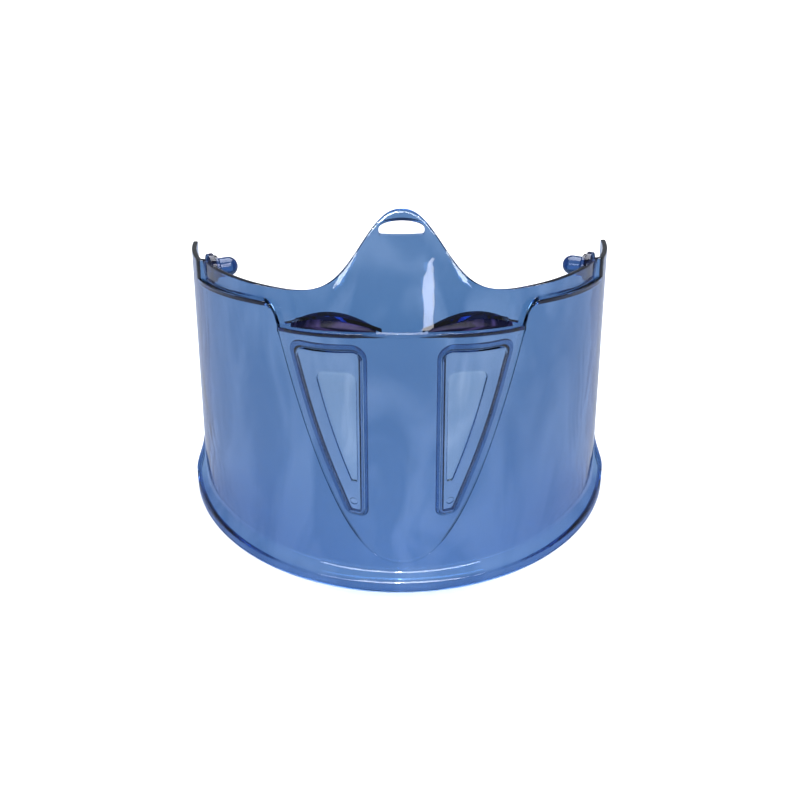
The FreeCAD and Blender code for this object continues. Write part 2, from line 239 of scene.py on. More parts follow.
def crown_edge(s, x):
    side = s.rear_top + s.top_rise * half_chord(x, s.half_width) - CROWN_SINK
    crown = s.nose_peak - s.rear_top - s.top_rise + CROWN_SINK
    return side + crown * np.exp(-((np.abs(x) / s.nose_flank) ** s.nose_power))


def muzzle_y(s, x, z):
    """Front of the muzzle, which swells out of the side panels between the two arms of the crease."""
    share = np.clip(np.abs(x) / crease_half(s, z), 0.0, 1.0)
    bulge = s.muzzle_bulge + s.muzzle_slope * z + s.crease_step
    bulge = bulge * smoothstep(s.crease_foot - MUZZLE_START, s.crease_foot + MUZZLE_FULL, z)
    return ellipse_y(s, x, 0.0) + s.crease_step - bulge * (1.0 - share ** 3)


def column_x(s, angle, inset):
    """Columns run straight in at the front and square to the wall at the sides."""
    share = smoothstep(*COLUMN_TURN, np.abs(np.sin(angle)))
    return (s.half_width - inset * share) * np.sin(angle)


def wall_point(s, angle, z, inset):
    x = column_x(s, angle, inset)
    return np.stack([x, ellipse_y(s, x, inset), z + 0 * x], -1)


def wall_inward(s, angle):
    x = np.sin(angle) / s.half_width
    y = -np.cos(angle) / s.reach
    size = np.hypot(x, y)
    return np.stack([-x / size, -y / size, 0 * x], -1)


def muzzle_point(s, angle, z):
    x = column_x(s, angle, 0.0)
    return np.stack([x, muzzle_y(s, x, z), z + 0 * x], -1)


def upper_point(s, angle, z):
    """Upper strip and nose. The strip runs out into the wall where the ledge stops."""
    outer = np.abs(column_x(s, angle, 0.0))
    inset = s.ledge_depth * (1.0 - smoothstep(s.ledge_stop - LEDGE_FADE, s.ledge_stop + LEDGE_FADE, outer))
    x = column_x(s, angle, inset)
    lean = s.strip_lean * np.clip(1.0 - (x / s.strip_width) ** 2, 0.0, None)
    strip = ellipse_y(s, x, inset) + lean * np.clip(z - s.strip_start, 0.0, None)
    ridge = RIDGE_BACK - s.rear + s.nose_slope * (z - s.muzzle_top)
    nose = ridge + s.nose_fall * (x / s.nose_width) ** 2
    return np.stack([x, soft_front(s, strip, nose), z + 0 * x], -1)


def upper_inward(s, angle, z):
    step_angle, step_z = 0.004, 0.4 * MM
    across = upper_point(s, angle + step_angle, z) - upper_point(s, angle - step_angle, z)
    along = upper_point(s, angle, z + step_z) - upper_point(s, angle, z - step_z)
    normal = np.cross(along, across)
    return normal / np.linalg.norm(normal, axis=-1, keepdims=True)


def top_edge(s, angle):
    """Sloping top edge of the strip, or the crown of the nose where that is higher."""
    z = np.full_like(angle, s.rear_top)
    for _ in range(EDGE_PASSES):
        y = upper_point(s, angle, z)[..., 1]
        z = s.rear_top + s.top_rise / s.reach * (s.rear - y)
    x = column_x(s, angle, 0.0)
    return np.where(np.abs(x) < CROWN_HALF, np.maximum(z, crown_edge(s, x)), z)


# Rounded edges of the shell: radius, steps across an edge, turns at its rear ends, fullness
EDGE_ROUND = 0.5 * MM
EDGE_STEPS = 6
END_TURNS = (0.35, 0.8, 1.2, math.pi / 2)
ROUND_POWER = 0.6
# Columns on one side of the shell: from, to, count
COLUMN_MARKS = ((0.0, 42.0, 40), (42.0, 51.0, 18), (51.0, 75.6, 24), (75.6, 78.4, 10))
LAST_COLUMNS = 18
# Rows up the rim: height, share of the rim's step
RIM_ROWS = ((0.5, 1.0), (1.4, 1.0), (2.4, 1.0), (3.2, 0.995), (3.7, 0.965), (4.2, 0.875), (5.0, 0.70),
            (6.0, 0.465), (7.0, 0.235), (7.6, 0.11), (8.1, 0.035), (8.7, 0.006), (9.2, 0.0))
# Rows over the crease: height, share of the muzzle
CREASE_ROWS = ((-0.6, 0.0), (-0.25, 0.12), (0.0, 0.5), (0.25, 0.88), (0.6, 1.0))
# Rows over the shelf: depth, height, share of the upper strip
SHELF_ROWS = ((0.0, -0.6, 0.0), (0.08, -0.25, 0.0), (0.28, -0.07, 0.0), (0.6, 0.0, 0.0), (0.0, 0.0, 0.5),
              (-0.7, 0.0, 1.0), (-0.3, 0.09, 1.0), (-0.07, 0.35, 1.0), (0.0, 0.8, 1.0))
WALL_ROWS, FRONT_ROWS, UPPER_ROWS = 25, 27, 28
CREASE_CLEAR = 2.5 * MM
LEAST_WALL = 0.3 * MM
SHELF_RUN = 1.6 * MM
RIM_FADE = (14 * MM, 26 * MM)


def shell_columns(s):
    """Angles of the columns, closer together at the bend of the ledge and at its stop."""
    angles = []
    for low, high, count in COLUMN_MARKS:
        start, end = (math.asin(value * MM / s.half_width) for value in (low, high))
        angles += [start + (end - start) * i / count for i in range(count)]
    last = math.pi / 2 - EDGE_ROUND / s.reach
    angles += [end + (last - end) * i / LAST_COLUMNS for i in range(LAST_COLUMNS + 1)]
    return np.array([-a for a in angles[:0:-1]] + angles)


def shell_rows(s, angle, depth):
    """Rows of one face of the wall from the rim to the top edge, at a depth below the outside."""
    rows = []
    inward = wall_inward(s, angle) * depth
    x = column_x(s, angle, 0.0)
    behind = ellipse_y(s, x, 0.0) - (s.rear - s.rear_corner)
    foot = s.rear_corner - np.sqrt(np.clip(s.rear_corner ** 2 - np.clip(behind, 0.0, None) ** 2, 0.0, None))
    step = s.rim_step * (1.0 - smoothstep(*RIM_FADE, behind))
    for rise, share in RIM_ROWS:
        rows.append(wall_point(s, angle, foot + rise * MM, -step * share) + inward)
    edge = front_edge(s, x) - depth
    in_muzzle = np.abs(x) < s.crease_half
    crease = np.where(in_muzzle, np.minimum(crease_height(s, x), edge - CREASE_CLEAR), edge - CREASE_CLEAR)

    def front(z):
        muzzle = muzzle_point(s, angle, z)
        return np.where(in_muzzle[:, None], muzzle, wall_point(s, angle, z, 0.0)) + inward

    start = foot + RIM_ROWS[-1][0] * MM
    end = np.maximum(crease + CREASE_ROWS[0][0] * MM, start + LEAST_WALL)
    for i in range(1, WALL_ROWS):
        rows.append(wall_point(s, angle, start + (end - start) * i / WALL_ROWS, 0.0) + inward)
    for rise, share in CREASE_ROWS:
        z = np.maximum(crease + rise * MM, end + (rise - CREASE_ROWS[0][0]) * 0.5 * MM)
        rows.append(wall_point(s, angle, z, 0.0) * (1.0 - share) + (front(z) - inward) * share + inward)
    start = z
    end = edge + SHELF_ROWS[0][1] * MM
    for i in range(1, FRONT_ROWS):
        rows.append(front(start + (end - start) * i / FRONT_ROWS))

    lift = -upper_inward(s, angle, edge)[:, 2] * depth

    def upper(z):
        return upper_point(s, angle, z) + upper_inward(s, angle, z) * depth

    for depth_in, rise, share in SHELF_ROWS:
        low = front(edge + min(rise, 0.0) * MM)
        high = upper(edge + lift + max(rise, 0.0) * MM)
        run = np.linalg.norm((high - low)[:, :2], axis=1)
        scale = np.clip(run / SHELF_RUN, 0.0, 1.0)
        part = np.clip(share + depth_in * MM * scale / np.maximum(run, 1e-7), 0.0, 1.0)[:, None]
        rows.append(low * (1.0 - part) + high * part)
    start = edge + lift + SHELF_ROWS[-1][1] * MM
    end = top_edge(s, angle) - EDGE_ROUND
    for i in range(1, UPPER_ROWS + 1):
        rows.append(upper(start + (end - start) * i / UPPER_ROWS))
    return np.array(rows)


def rounded_share(turn):
    """Place across and out of a rounded edge at a turn from 0 on one face to pi on the other."""
    across = math.copysign(abs(math.cos(turn)) ** ROUND_POWER, math.cos(turn))
    return across, math.sin(turn) ** ROUND_POWER


def edge_rows(first, second, out):
    rows = []
    for i in range(1, EDGE_STEPS):
        across, rise = rounded_share(math.pi * i / EDGE_STEPS)
        rows.append((first + second) / 2 + (first - second) / 2 * across + np.array(out) * EDGE_ROUND * rise)
    return rows


def shell_mesh(s):
    angle = shell_columns(s)
    outside = shell_rows(s, angle, 0.0)
    inside = shell_rows(s, angle, s.wall)
    top = edge_rows(outside[-1], inside[-1], (0, 0, 1))
    foot = edge_rows(inside[0], outside[0], (0, 0, -1))
    loops = np.array(list(outside) + top + list(inside[::-1]) + foot)
    middle = (outside + inside) / 2
    middles = np.array(list(middle) + [middle[-1]] * len(top) + list(middle[::-1]) + [middle[0]] * len(foot))
    ends = []
    for column in (0, -1):
        ring = []
        for turn in END_TURNS:
            across, rise = rounded_share(turn)
            across = across if turn < math.pi / 2 else 0.0
            points = middles[:, column] + (loops[:, column] - middles[:, column]) * across
            points[:, 1] += EDGE_ROUND * rise
            ring.append(points)
        ends.append(ring)
    columns = list(ends[0][::-1]) + [loops[:, i] for i in range(loops.shape[1])] + list(ends[1])
    return grid_mesh("shield_shell", np.array(columns))


def grid_mesh(name, columns):
    """Mesh through closed loops of points, each loop joined to the next, with doubles merged."""
    count, size = columns.shape[:2]
    faces = []
    for i in range(count - 1):
        for j in range(size):
            k = (j + 1) % size
            faces.append((i * size + j, i * size + k, (i + 1) * size + k, (i + 1) * size + j))
    mesh = bpy.data.meshes.new(name)
    mesh.from_pydata(columns.reshape(-1, 3).tolist(), [], faces)
    clean(mesh)
    return mesh


def clean(mesh):
    bm = bmesh.new()
    bm.from_mesh(mesh)
    bmesh.ops.remove_doubles(bm, verts=bm.verts, dist=1e-6)
    bmesh.ops.dissolve_degenerate(bm, edges=bm.edges, dist=1e-7)
    bmesh.ops.recalc_face_normals(bm, faces=bm.faces)
    bm.to_mesh(mesh)
    bm.free()


# Outlines of the covers: steps round a corner, points along an edge, least radii
ARC_STEPS, OUTLINE_POINTS = 8, 20
CORNER_LEAST, FOOT_LEAST = 1.2 * MM, 0.4 * MM
# Middle line of the sunk field: its ends above the foot and above the centre, and its place beside the foot
CORE_LOW, CORE_HIGH, CORE_ASIDE = 6 * MM, 14 * MM, 0.6 * MM
# Sunk field: rings over a face, width of the slope round it, and rings there as share of width and of depth
LID_RINGS = 9
FIELD_SLOPE = 0.6 * MM
SLOPE_RINGS = ((0.35, 0.9), (0.75, 0.1))
# Rounded edges of the covers: front rim, its shoulder, flange and inside
LID_ROUND, LID_SHOULDER, FLANGE_ROUND, INSIDE_ROUND = 0.35 * MM, 0.1 * MM, 0.25 * MM, 0.4 * MM
# Long slots: points along an edge, lift over the muzzle's top edge, fullness of the lens
LENS_POINTS, LENS_LIFT, LENS_POWER = 40, 0.12 * MM, 2.2
# Painted-shade inserts in the long slots: shares of the rings over the front, softness of its edge
SHADE_INSERT_RINGS, SHADE_INSERT_ROUND = (0.0, 0.5, 0.85), 0.15 * MM
# Nose slot: share of its height at the shoulder, points round the arch and the lower corners, their radius
NOSE_SHOULDER, ARCH_POINTS, NOSE_CORNER_POINTS, NOSE_CORNER = 0.45, 25, 6, 0.8 * MM
MARK_POINTS, BOSS_POINTS, BOSS_ROUND = 32, 48, 0.2 * MM


def cover_corners(c):
    foot_out = c.inner + c.foot_width
    top_out = c.top - c.top_drop
    bow = (c.outer + foot_out) / 2 + c.bow
    return np.array([(c.inner, c.foot), (c.inner, c.top), (c.outer, top_out), (bow, (top_out + c.foot) / 2),
                     (foot_out, c.foot)])


def cover_outline(c, moves, least=CORNER_LEAST):
    """Points round a cover's outline, each edge moved outward: inner, top, outer high, outer low, foot."""
    corners = cover_corners(c)
    count = len(corners)
    runs = [unit(corners[(i + 1) % count] - corners[i]) for i in range(count)]
    bases = [corners[i] + np.array((-runs[i][1], runs[i][0])) * moves[i] for i in range(count)]
    moved = []
    for i in range(count):
        p, d, q, e = bases[i - 1], runs[i - 1], bases[i], runs[i]
        share = ((q[0] - p[0]) * e[1] - (q[1] - p[1]) * e[0]) / (d[0] * e[1] - d[1] * e[0])
        moved.append(p + d * share)
    foot = max(c.foot_corner + moves[0], FOOT_LEAST)
    corner = max(c.corner + moves[0], least)
    radii = [foot, corner, corner, c.side_radius, foot]
    points = []
    for i in range(count):
        points += corner_arc(moved[i - 1], moved[i], moved[(i + 1) % count], radii[i])
    return spread(np.array(points))


def unit(vector):
    return vector / np.linalg.norm(vector)


def corner_arc(before, corner, after, radius):
    back, ahead = unit(before - corner), unit(after - corner)
    half = math.acos(np.clip(np.dot(back, ahead), -1.0, 1.0)) / 2
    centre = corner + unit(back + ahead) * radius / math.sin(half)
    first = math.atan2(*(corner + back * radius / math.tan(half) - centre)[::-1])
    last = math.atan2(*(corner + ahead * radius / math.tan(half) - centre)[::-1])
    turn = (last - first + math.pi) % (2 * math.pi) - math.pi
    angles = [first + turn * k / ARC_STEPS for k in range(ARC_STEPS + 1)]
    return [centre + radius * np.array((math.cos(angle), math.sin(angle))) for angle in angles]


def spread(points):
    """Keeps the points of each corner and spaces more along the straight edge to the next one."""
    result = []
    size = ARC_STEPS + 1
    for start in range(0, len(points), size):
        arc = points[start:start + size]
        following = points[(start + size) % len(points)]
        result += list(arc)
        result += [arc[-1] + (following - arc[-1]) * k / OUTLINE_POINTS for k in range(1, OUTLINE_POINTS)]
    return np.array(result)


def even(move):
    return (move,) * 5


def muzzle_slope(s, x, z):
    """Length of the muzzle's normal for each unit that it points forward."""
    step = 0.3 * MM
    by_x = (muzzle_y(s, x + step, z) - muzzle_y(s, x - step, z)) / (2 * step)
    by_z = (muzzle_y(s, x, z + step) - muzzle_y(s, x, z - step)) / (2 * step)
    return np.sqrt(1.0 + by_x ** 2 + by_z ** 2)


def on_muzzle(s, outline, proud):
    """Outline laid on the muzzle, standing proud of it by a distance square to the surface."""
    x, z = outline[:, 0], outline[:, 1]
    return np.stack([x, muzzle_y(s, x, z) - proud * muzzle_slope(s, x, z), z], -1)


def mixed(first, second, share):
    return first * (1.0 - share) + second * share


def core_of(c):
    """Line down the middle of a cover's sunk field, to which the rings of its faces shrink."""
    field = field_outline(c, 0.0)
    centre = field.mean(0)
    low = field[np.argmin(field[:, 1])]
    heights = np.clip(field[:, 1], low[1] + CORE_LOW, centre[1] + CORE_HIGH)
    share = (heights - low[1]) / (centre[1] - low[1])
    x = low[0] + CORE_ASIDE + (centre[0] - low[0] - CORE_ASIDE) * share
    return np.stack([x, heights], -1)


def field_outline(c, margin):
    """Outline of a cover's sunk field, moved in by a margin."""
    edges = (c.pocket_edge, c.pocket_top, c.pocket_side, c.pocket_side, c.pocket_foot)
    return cover_outline(c, tuple(-edge - margin for edge in edges), c.pocket_corner)


def lid_rings(s, c, rim, proud, pocket):
    """Rings over the front of a cover from its middle to an outline near its rim."""
    field = field_outline(c, 0.0)
    inner = field_outline(c, FIELD_SLOPE)
    core = core_of(c)
    shares = np.linspace(0.0, 1.0, LID_RINGS)
    rings = [on_muzzle(s, mixed(core, inner, share), proud - pocket) for share in shares]
    for share, depth in SLOPE_RINGS:
        rings.append(on_muzzle(s, mixed(inner, field, share), proud - depth * pocket))
    return rings + [on_muzzle(s, mixed(field, rim, share), proud) for share in shares]


def cover_mesh(s, c, name):
    """Right vent cover: lid, skirt and flange as one closed skin."""
    near = -s.wall - c.seat_gap
    far = near - c.flange_thickness
    deep = c.rise - c.skin
    # Steps round the skirt and the flange: how far outside the rim, how far proud of the muzzle
    steps = ((-LID_SHOULDER, c.rise - LID_SHOULDER), (0.0, c.rise - LID_ROUND), (0.0, near),
             (c.flange - FLANGE_ROUND, near), (c.flange, near - FLANGE_ROUND),
             (c.flange, far + FLANGE_ROUND), (c.flange - FLANGE_ROUND, far),
             (FLANGE_ROUND - c.skirt, far), (-c.skirt, far + FLANGE_ROUND), (-c.skirt, deep - INSIDE_ROUND))
    rings = lid_rings(s, c, cover_outline(c, even(-LID_ROUND)), c.rise, c.pocket_depth)
    rings += [on_muzzle(s, cover_outline(c, even(move)), proud) for move, proud in steps]
    rings += lid_rings(s, c, cover_outline(c, even(-c.skirt - INSIDE_ROUND)), deep, 0.0)[::-1]
    return grid_mesh(name, np.array(rings))


def mark_mesh(s, c):
    """Tool for the round mark at the foot of the right cover."""
    turn = np.linspace(0.0, 2 * math.pi, MARK_POINTS, endpoint=False)
    ring = np.stack([c.inner + c.mark_inset + c.mark_radius * np.cos(turn),
                     c.foot + c.mark_rise + c.mark_radius * np.sin(turn)], -1)
    return plug_mesh("mark", on_muzzle(s, ring, 2 * c.rise), on_muzzle(s, ring, c.rise - c.mark_depth))


def plug_mesh(name, front, back):
    """Closed prism between two rings of points, with a fan over each end."""
    rings = [mixed(front.mean(0), front, 0.0), front, back, mixed(back.mean(0), back, 0.0)]
    return grid_mesh(name, np.array([np.broadcast_to(ring, front.shape) for ring in rings]))


def prism_mesh(name, outline, near, far):
    front = np.stack([outline[:, 0], np.full(len(outline), near), outline[:, 1]], -1)
    back = front.copy()
    back[:, 1] = far
    return plug_mesh(name, front, back)


def mirrored_mesh(mesh, name):
    copy = mesh.copy()
    copy.name = name
    copy.transform(Matrix.Scale(-1, 4, Vector((1, 0, 0))))
    copy.flip_normals()
    return copy


def long_slot_outline(s, tip_gap, gap):
    """Lens outline of the right long slot, drawn in by one gap at its tips and another along its edges."""
    middle = (s.slot_inner + s.slot_outer) / 2
    half = (s.slot_outer - s.slot_inner) / 2 - tip_gap
    share = np.linspace(-1.0, 1.0, LENS_POINTS)
    x = middle + half * share
    low = s.muzzle_top - s.muzzle_drop * (x / s.slot_outer) ** 2 + LENS_LIFT + gap
    lift = (s.slot_height - 2 * gap) * (1.0 - np.abs(share) ** LENS_POWER)
    upper = np.stack([x, low + lift], -1)[::-1][1:-1]
    return np.concatenate([np.stack([x, low], -1), upper])


def lens_core(outline):
    """Line along the middle of a lens outline, one point for each point of the outline."""
    half = len(outline) // 2 + 1
    low, high = outline[:half], np.concatenate([outline[:1], outline[:half - 2:-1]])
    middle = (low + high) / 2
    return np.concatenate([middle, middle[-2:0:-1]])


def on_upper(s, outline, depth):
    """Outline laid on the upper strip, sunk by a depth square to the surface."""
    angle = np.arcsin(outline[:, 0] / s.half_width)
    points = upper_point(s, angle, outline[:, 1])
    points[:, 1] += depth / upper_inward(s, angle, outline[:, 1])[:, 1]
    return points


def shade_insert_mesh(s, k, name):
    """Right painted-shade insert: a near-black strip on the muzzle's top that fills the slot, and its lip,
    as one closed skin.
    """
    plug = long_slot_outline(s, k.tip_gap, k.gap)
    lip = long_slot_outline(s, k.tip_gap - k.lip, -k.lip)
    core = lens_core(plug)
    near = s.wall + k.gap
    far = near + k.lip_thickness
    rings = [on_muzzle(s, mixed(core, plug, share), -k.recess) for share in SHADE_INSERT_RINGS]
    rings.append(on_muzzle(s, plug, -k.recess - SHADE_INSERT_ROUND))
    rings.append(on_upper(s, plug, near))
    rings += [on_upper(s, lip, depth) for depth in (near, far)]
    rings.append(on_upper(s, lens_core(lip), far))
    return grid_mesh(name, np.array(rings))


def nose_slot_outline(s):
    """Arched outline of the slot at the tip of the nose, with soft lower corners."""
    half = s.nose_slot_width / 2
    low = s.nose_slot_foot
    soft = NOSE_CORNER
    shoulder = NOSE_SHOULDER * s.nose_slot_height
    turn = np.linspace(0.0, math.pi, ARCH_POINTS)
    rise = shoulder + (s.nose_slot_height - shoulder) * np.sin(turn)
    arch = np.stack([half * np.cos(turn), low + rise], -1)
    corner = np.linspace(0.0, math.pi / 2, NOSE_CORNER_POINTS)
    left = np.stack([-half + soft - soft * np.cos(corner), low + soft - soft * np.sin(corner)], -1)
    right = np.stack([-left[::-1, 0], left[::-1, 1]], -1)
    return np.concatenate([arch, left, right])


def stud_place(s, t):
    """Foot of the right stud on the inside of the strip, and the way it points."""
    inner = s.ledge_depth + s.wall
    reach, half = s.reach - inner, s.half_width - inner
    share = t.from_rear / reach
    x = half * math.sqrt(1.0 - share * share)
    normal = Vector((x / half ** 2, -t.from_rear / reach ** 2, 0)).normalized()
    return Vector((x, s.rear - t.from_rear, t.height)), -normal


def boss_mesh(s, t):
    foot, axis = stud_place(s, t)
    side = axis.cross(Vector((0, 0, 1))).normalized()
    turn = np.linspace(0.0, 2 * math.pi, BOSS_POINTS, endpoint=False)
    ring = np.outer(np.cos(turn), side) + np.outer(np.sin(turn), (0, 0, 1))
    low = ring * t.boss_radius + np.array(foot - axis * s.wall * 0.5)
    mid = ring * t.boss_radius + np.array(foot + axis * (t.boss - BOSS_ROUND))
    high = ring * (t.boss_radius - BOSS_ROUND) + np.array(foot + axis * t.boss)
    rings = [low * 0 + low.mean(0), low, mid, high, high * 0 + high.mean(0)]
    return grid_mesh("boss", np.array(rings))


def solid_object(name, mesh):
    obj = bpy.data.objects.new(name, mesh)
    bpy.context.scene.collection.objects.link(obj)
    return obj


def combine(obj, meshes, operation):
    """Joins meshes to an object's mesh or cuts them from it, for good."""
    for mesh in meshes:
        tool = solid_object("tool", mesh)
        modifier = obj.modifiers.new("combine", "BOOLEAN")
        modifier.operation = operation
        modifier.solver = "EXACT"
        modifier.object = tool
        settled(obj)
        bpy.data.objects.remove(tool)


def settled(obj):
    """Replaces an object's mesh with its evaluated one and removes its modifiers."""
    depsgraph = bpy.context.evaluated_depsgraph_get()
    mesh = bpy.data.meshes.new_from_object(obj.evaluated_get(depsgraph))
    obj.modifiers.clear()
    obj.data = mesh


def smooth(obj, degrees):
    """Smooth faces with creases along edges that turn by more than an angle."""
    obj.data.polygons.foreach_set("use_smooth", [True] * len(obj.data.polygons))
    obj.data.set_sharp_from_angle(angle=math.radians(degrees))
    obj.data.update()


def dress(obj, material, node, body):
    obj.data.materials.clear()
    obj.data.materials.append(material)
    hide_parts(node)
    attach(obj, body)
    return obj


def new_group(name, inputs, outputs):
    """Empty shader group with number sockets; the inputs carry their defaults."""
    group = bpy.data.node_groups.new(name, "ShaderNodeTree")
    for label, default in inputs.items():
        socket = group.interface.new_socket(label, in_out="INPUT", socket_type="NodeSocketFloat")
        socket.default_value = default
    for label in outputs:
        group.interface.new_socket(label, in_out="OUTPUT", socket_type="NodeSocketFloat")
    return group


def feed(tree, node, inputs):
    """Sets a node's inputs to values or links them to the outputs of other nodes."""
    for label, value in inputs.items():
        if isinstance(value, bpy.types.NodeSocket):
            tree.links.new(value, node.inputs[label])
        else:
            node.inputs[label].default_value = value
    return node


def add_node(tree, kind, inputs=None):
    return feed(tree, tree.nodes.new(kind), inputs or {})


def map_range(tree, value, span, result=(0.0, 1.0)):
    """Output of a node that maps a value from one span of numbers to another."""
    labels = ("Value", "From Min", "From Max", "To Min", "To Max")
    inputs = dict(zip(labels, (value, *span, *result)))
    return add_node(tree, "ShaderNodeMapRange", inputs).outputs["Result"]


def blended(tree, share, first, second):
    """Colour output that runs from one colour to another with a share."""
    node = tree.nodes.new("ShaderNodeMix")
    node.data_type = "RGBA"
    return feed(tree, node, {"Factor": share, "A": first, "B": second}).outputs["Result"]


# Bands of height in millimetres over which the plastic turns paler, and by how much
PALE_LEVELS = ((80.0, 5.0, 0.5), (112.0, 135.0, 0.3))
# Bands of noise that show as scuffs, as flow marks and as painted sheen streaks on the painted-shade slot
# inserts
SCUFF_BAND, FLOW_BAND, PAINTED_SHEEN_BAND = (0.58, 0.8), (0.42, 0.72), (0.5, 0.72)
FLOW_STRETCH, SHEEN_AND_GLOSS_STREAK_STRETCH = (1.0, 1.0, 0.35), (45.0, 60.0, 900.0)
SHADE_INSERT_ROUGHNESS = (0.16, 0.4)
WAVE_DEPTH = 0.0006


def moulding_group():
    """Slow flow marks, a tone that turns paler towards the bottom and towards the top, fine scuffs and
    orange peel of a polished moulding.
    """
    inputs = {"Flow Scale": 22.0, "Scuff Scale": 900.0, "Smooth Roughness": 0.02, "Scuffed Roughness": 0.12}
    group = new_group("moulding marks", inputs, ("Flow", "Roughness", "Height"))
    entry = add_node(group, "NodeGroupInput")
    place = add_node(group, "ShaderNodeTexCoord").outputs["Object"]
    stretch = add_node(group, "ShaderNodeMapping", {"Vector": place, "Scale": FLOW_STRETCH})
    flow = add_node(group, "ShaderNodeTexNoise", {
        "Vector": stretch.outputs["Vector"], "Scale": entry.outputs["Flow Scale"], "Detail": 2.0,
        "Distortion": 1.2}).outputs["Fac"]
    scuff = add_node(group, "ShaderNodeTexNoise", {
        "Vector": place, "Scale": entry.outputs["Scuff Scale"], "Detail": 6.0, "Roughness": 0.7})
    few = map_range(group, scuff.outputs["Fac"], SCUFF_BAND)
    gloss = entry.outputs["Smooth Roughness"], entry.outputs["Scuffed Roughness"]
    rough = map_range(group, few, (0.0, 1.0), gloss)
    pale = map_range(group, flow, FLOW_BAND)
    level = add_node(group, "ShaderNodeSeparateXYZ", {"Vector": place})
    for start, end, share in PALE_LEVELS:
        ramp = map_range(group, level.outputs["Z"], (start * MM, end * MM), (0.0, share))
        pale = add_node(group, "ShaderNodeMath", {0: pale, 1: ramp}).outputs["Value"]
    # The Flow output holds the flow marks and the paler tone towards the bottom and the top.
    add_node(group, "NodeGroupOutput", {"Flow": pale, "Roughness": rough, "Height": flow})
    return group


def paler(tint, share):
    return [value + (1.0 - value) * share for value in tint]


# Plastics: how much paler than the shell, scale of the flow marks, waviness, density of the depth tint
PLASTICS = {"shell": (0.0, 45.0, 0.3, 450.0), "cover": (0.2, 70.0, 0.3, 350.0),
            "stud": (0.1, 60.0, 0.05, 300.0)}


def plastic_material(slot, looks):
    """Clear tinted plastic: plain transmission, with flow marks in tint, gloss and relief, and a tint that
    turns paler towards the bottom and the top.
    """
    pale, flow_scale, waviness, depth_density = PLASTICS[slot]
    material = bpy.data.materials.new(slot + " plastic")
    material.use_nodes = True
    tree = material.node_tree
    tree.nodes.clear()
    marks = add_node(tree, "ShaderNodeGroup")
    marks.node_tree = bpy.data.node_groups.get("moulding marks") or moulding_group()
    feed(tree, marks, {"Flow Scale": flow_scale})
    tint = blended(tree, marks.outputs["Flow"], paler(looks.tint, pale), paler(looks.tint_pale, pale))
    waves = add_node(tree, "ShaderNodeBump", {
        "Strength": waviness, "Distance": WAVE_DEPTH, "Height": marks.outputs["Height"]})
    plastic = add_node(tree, "ShaderNodeBsdfPrincipled", {
        "Base Color": tint, "Roughness": marks.outputs["Roughness"], "Normal": waves.outputs["Normal"],
        "Transmission Weight": 1.0, "Metallic": 0.0, "IOR": 1.5, "Specular IOR Level": 0.35})
    clear = add_node(tree, "ShaderNodeBsdfTransparent", {"Color": looks.shade})
    path = add_node(tree, "ShaderNodeLightPath")
    surface = add_node(tree, "ShaderNodeMixShader", {
        "Fac": path.outputs["Is Shadow Ray"], 1: plastic.outputs["BSDF"], 2: clear.outputs["BSDF"]})
    depth = add_node(tree, "ShaderNodeVolumeAbsorption", {
        "Color": looks.depth_tint, "Density": depth_density})
    add_node(tree, "ShaderNodeOutputMaterial", {
        "Surface": surface.outputs["Shader"], "Volume": depth.outputs["Volume"]})
    return material


# Reach of the cutting tools along Y, and the angles above which edges stay sharp
TOOL_FRONT, VENT_BACK, SLOT_BACK = -60 * MM, 0.0, 20 * MM
SHELL_SHARP, PIECE_SHARP = 32.0, 40.0


class SHIELD_OT_shell(bpy.types.Operator):
    """Builds the moulded shell with its seats, slots and openings"""

    bl_idname = "shield.shell"
    bl_label = "Build the shell"

    def execute(self, context):
        scene = context.scene
        s, c, t = scene.shield_sizes, scene.shield_cover, scene.shield_stud
        obj = solid_object("shell", shell_mesh(s))
        boss = boss_mesh(s, t)
        combine(obj, [boss, mirrored_mesh(boss, "boss_left")], "UNION")
        vent = prism_mesh("vent", cover_outline(c, even(c.gap)), TOOL_FRONT, VENT_BACK)
        slot = prism_mesh("slot", long_slot_outline(s, 0.0, 0.0), TOOL_FRONT, SLOT_BACK)
        nose = prism_mesh("nose", nose_slot_outline(s), TOOL_FRONT, SLOT_BACK)
        cuts = [vent, mirrored_mesh(vent, "vent_left"), slot, mirrored_mesh(slot, "slot_left"), nose]
        combine(obj, cuts, "DIFFERENCE")
        smooth(obj, SHELL_SHARP)
        material = plastic_material("shell", scene.shield_looks)
        dress(obj, material, "shield_shell", "shield")
        return {"FINISHED"}


class SHIELD_OT_covers(bpy.types.Operator):
    """Builds the two vent covers that sit in the muzzle"""

    bl_idname = "shield.covers"
    bl_label = "Build the vent covers"

    def execute(self, context):
        scene = context.scene
        s, c = scene.shield_sizes, scene.shield_cover
        right = solid_object("right_cover", cover_mesh(s, c, "right_cover"))
        combine(right, [mark_mesh(s, c)], "DIFFERENCE")
        left = solid_object("left_cover", mirrored_mesh(right.data, "left_cover"))
        material = plastic_material("cover", scene.shield_looks)
        for side, obj in (("left", left), ("right", right)):
            smooth(obj, PIECE_SHARP)
            dress(obj, material, side + "_vent_cover", side + "_cover")
        return {"FINISHED"}


